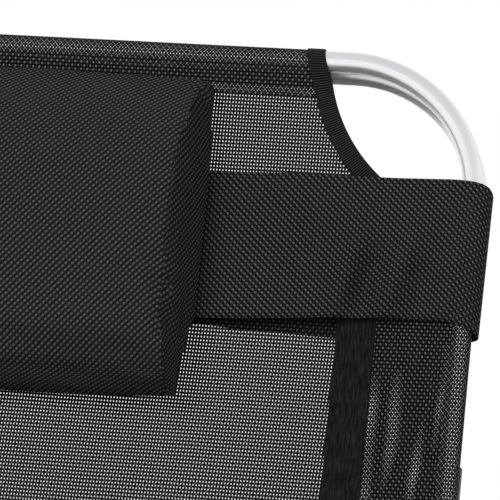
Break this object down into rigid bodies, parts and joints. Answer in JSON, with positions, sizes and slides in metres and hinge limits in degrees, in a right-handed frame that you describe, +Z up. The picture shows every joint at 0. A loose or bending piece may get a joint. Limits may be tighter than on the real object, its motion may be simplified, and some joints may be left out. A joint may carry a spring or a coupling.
{
  "type": "reclining sun lounger",
  "caption": "Folding sun lounger of bent silver tube with a black mesh sling, a backrest that reclines, folding U legs and a strapped head cushion",
  "frame": {"origin": "on the ground, at the middle of the lounger's box with the backrest propped up", "axes": "+X across the lounger, +Y to the head end, +Z up"},
  "size_m": [0.7092, 1.6204, 0.9993],
  "materials": {
    "tube": "satin silver, drawn tube",
    "rivet_steel": "bright",
    "spring_steel": "plain",
    "hinge_plastic": "matt moulded",
    "bracket_plastic": "matt moulded",
    "pad_plastic": "matt moulded",
    "sleeve_cloth": "woven coated mesh, doubled",
    "mesh_cloth": "open woven coated mesh",
    "tape_cloth": "plain tape",
    "cushion_cloth": "fine woven mesh over filling",
    "strap_cloth": "woven mesh band"
  },
  "bodies": {
    "base": {"seat_frame_tube": "tube", "seat_cross_bar": "tube", "seat_hinge_rivets": "rivet_steel", "mid_leg_rivets": "rivet_steel", "mid_leg_saddle_rivets": "rivet_steel", "foot_leg_rivets": "rivet_steel", "foot_leg_saddle_rivets": "rivet_steel", "seat_sling_panel": "mesh_cloth", "foot_end_sleeve": "sleeve_cloth", "sling_hinge_strip": "mesh_cloth", "seat_hinge_half_left": "hinge_plastic", "seat_hinge_half_right": "hinge_plastic", "click_spring_left": "spring_steel", "click_spring_right": "spring_steel", "hinge_bolt_left": "rivet_steel", "hinge_bolt_right": "rivet_steel", "hinge_nut_left": "rivet_steel", "hinge_nut_right": "rivet_steel", "hinge_cap_left": "hinge_plastic", "hinge_cap_right": "hinge_plastic", "mid_leg_bracket_left": "bracket_plastic", "mid_leg_bracket_right": "bracket_plastic", "foot_leg_bracket_left": "bracket_plastic", "foot_leg_bracket_right": "bracket_plastic", "seat_sleeve_left": "sleeve_cloth", "seat_sleeve_right": "sleeve_cloth", "seat_seam_tape_left": "tape_cloth", "seat_seam_tape_right": "tape_cloth", "foot_corner_binding_left": "tape_cloth", "foot_corner_binding_right": "tape_cloth"},
    "backrest": {"back_frame_tube": "tube", "back_cross_bar": "tube", "back_hinge_rivets": "rivet_steel", "head_leg_rivets": "rivet_steel", "head_leg_saddle_rivets": "rivet_steel", "back_sling_panel": "mesh_cloth", "head_end_sleeve": "sleeve_cloth", "back_hinge_half_left": "hinge_plastic", "back_hinge_half_right": "hinge_plastic", "notch_wheel_left": "spring_steel", "notch_wheel_right": "spring_steel", "head_leg_bracket_left": "bracket_plastic", "head_leg_bracket_right": "bracket_plastic", "back_sleeve_left": "sleeve_cloth", "back_sleeve_right": "sleeve_cloth", "back_seam_tape_left": "tape_cloth", "back_seam_tape_right": "tape_cloth", "head_corner_binding_left": "tape_cloth", "head_corner_binding_right": "tape_cloth"},
    "head_leg": {"head_leg_tube": "tube", "head_leg_pad_left": "pad_plastic", "head_leg_pad_right": "pad_plastic"},
    "mid_leg": {"mid_leg_tube": "tube", "mid_leg_pad_left": "pad_plastic", "mid_leg_pad_right": "pad_plastic"},
    "foot_leg": {"foot_leg_tube": "tube", "foot_leg_pad_left": "pad_plastic", "foot_leg_pad_right": "pad_plastic"},
    "pillow": {"pillow": "cushion_cloth", "pillow_strap": "strap_cloth"}
  },
  "joints": [
    {"name": "recline", "type": "hinge", "parent": "base", "child": "backrest", "pos_m": [0, 0.39889, 0.39499], "axis": [1, 0, 0], "range_deg": [-60, 110], "deforming": ["click_spring_left", "click_spring_right", "sling_hinge_strip"]},
    {"name": "head_leg_fold", "type": "hinge", "parent": "backrest", "child": "head_leg", "pos_m": [0, 0.63411, 0.68642], "axis": [-1, 0, 0], "range_deg": [0, 100]},
    {"name": "mid_leg_fold", "type": "hinge", "parent": "base", "child": "mid_leg", "pos_m": [0, 0.28889, 0.33699], "axis": [-1, 0, 0], "range_deg": [0, 100]},
    {"name": "foot_leg_fold", "type": "hinge", "parent": "base", "child": "foot_leg", "pos_m": [0, -0.62111, 0.33699], "axis": [1, 0, 0], "range_deg": [0, 100]},
    {"name": "pillow_slide", "type": "slide", "parent": "backrest", "child": "pillow", "axis": [0, 0.5, 0.866], "range_m": [-0.08, 0.23]}
  ]
}
